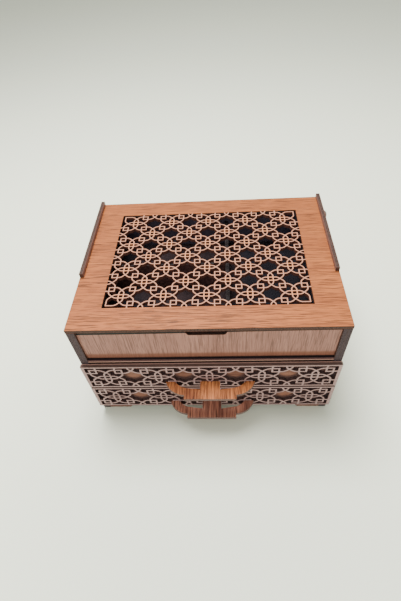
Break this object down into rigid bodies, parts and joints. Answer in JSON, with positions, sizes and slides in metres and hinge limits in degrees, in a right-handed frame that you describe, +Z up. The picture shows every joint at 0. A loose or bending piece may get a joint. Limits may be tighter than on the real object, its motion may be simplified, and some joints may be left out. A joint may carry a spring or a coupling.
{
  "type": "jewelry box with drawer",
  "caption": "Wooden jewellery box: openwork lid turning on wooden pegs over a divided compartment, with openwork drawer fronts and flat wooden handles.",
  "frame": {"origin": "on the ground, in the middle of the outline seen from above, handles included", "axes": "+Z up, -Y towards the drawer fronts, +X to the right of someone facing them"},
  "size_m": [0.2746, 0.2176, 0.1578],
  "materials": {
    "lid_veneer": "satin oiled veneer",
    "panel_veneer": "satin oiled veneer",
    "fascia_veneer": "satin oiled veneer with dark burnt edges",
    "carcass_veneer": "satin oiled veneer with dark burnt edges",
    "cheek_wood": "satin oiled veneer with dark burnt edges",
    "handle_wood": "satin oiled veneer",
    "peg_wood": "satin oiled wood",
    "divider_wood": "dark stained",
    "velvet": "dark velvet"
  },
  "bodies": {
    "carcass": {"right_inner_side": "carcass_veneer", "left_inner_side": "carcass_veneer", "right_outer_side": "carcass_veneer", "left_outer_side": "carcass_veneer", "front_panel": "panel_veneer", "back_panel": "carcass_veneer", "front_plinth": "carcass_veneer", "base_board": "carcass_veneer", "middle_shelf": "carcass_veneer", "compartment_floor": "carcass_veneer", "long_divider": "divider_wood", "cross_divider": "divider_wood", "front_left_pad": "velvet", "rear_left_pad": "velvet", "right_pad": "velvet"},
    "lid": {"lid_panel": "lid_veneer", "right_lid_cheek": "cheek_wood", "left_lid_cheek": "cheek_wood", "hinge_pegs": "peg_wood"},
    "upper_drawer": {"upper_drawer_lattice": "fascia_veneer", "upper_drawer_front": "carcass_veneer", "upper_drawer_right_side": "carcass_veneer", "upper_drawer_left_side": "carcass_veneer", "upper_drawer_back": "carcass_veneer", "upper_drawer_bottom": "carcass_veneer", "upper_drawer_pad": "velvet", "upper_drawer_handle": "handle_wood"},
    "lower_drawer": {"lower_drawer_lattice": "fascia_veneer", "lower_drawer_front": "carcass_veneer", "lower_drawer_right_side": "carcass_veneer", "lower_drawer_left_side": "carcass_veneer", "lower_drawer_back": "carcass_veneer", "lower_drawer_bottom": "carcass_veneer", "lower_drawer_pad": "velvet", "lower_drawer_handle": "handle_wood"}
  },
  "joints": [
    {"name": "lid_hinge", "type": "hinge", "parent": "carcass", "child": "lid", "pos_m": [0, 0.0875, 0.1424], "axis": [-1, 0, 0], "range_deg": [0, 92]},
    {"name": "upper_drawer_slide", "type": "slide", "parent": "carcass", "child": "upper_drawer", "axis": [0, -1, 0], "range_m": [0, 0.13]},
    {"name": "lower_drawer_slide", "type": "slide", "parent": "carcass", "child": "lower_drawer", "axis": [0, -1, 0], "range_m": [0, 0.13]}
  ]
}
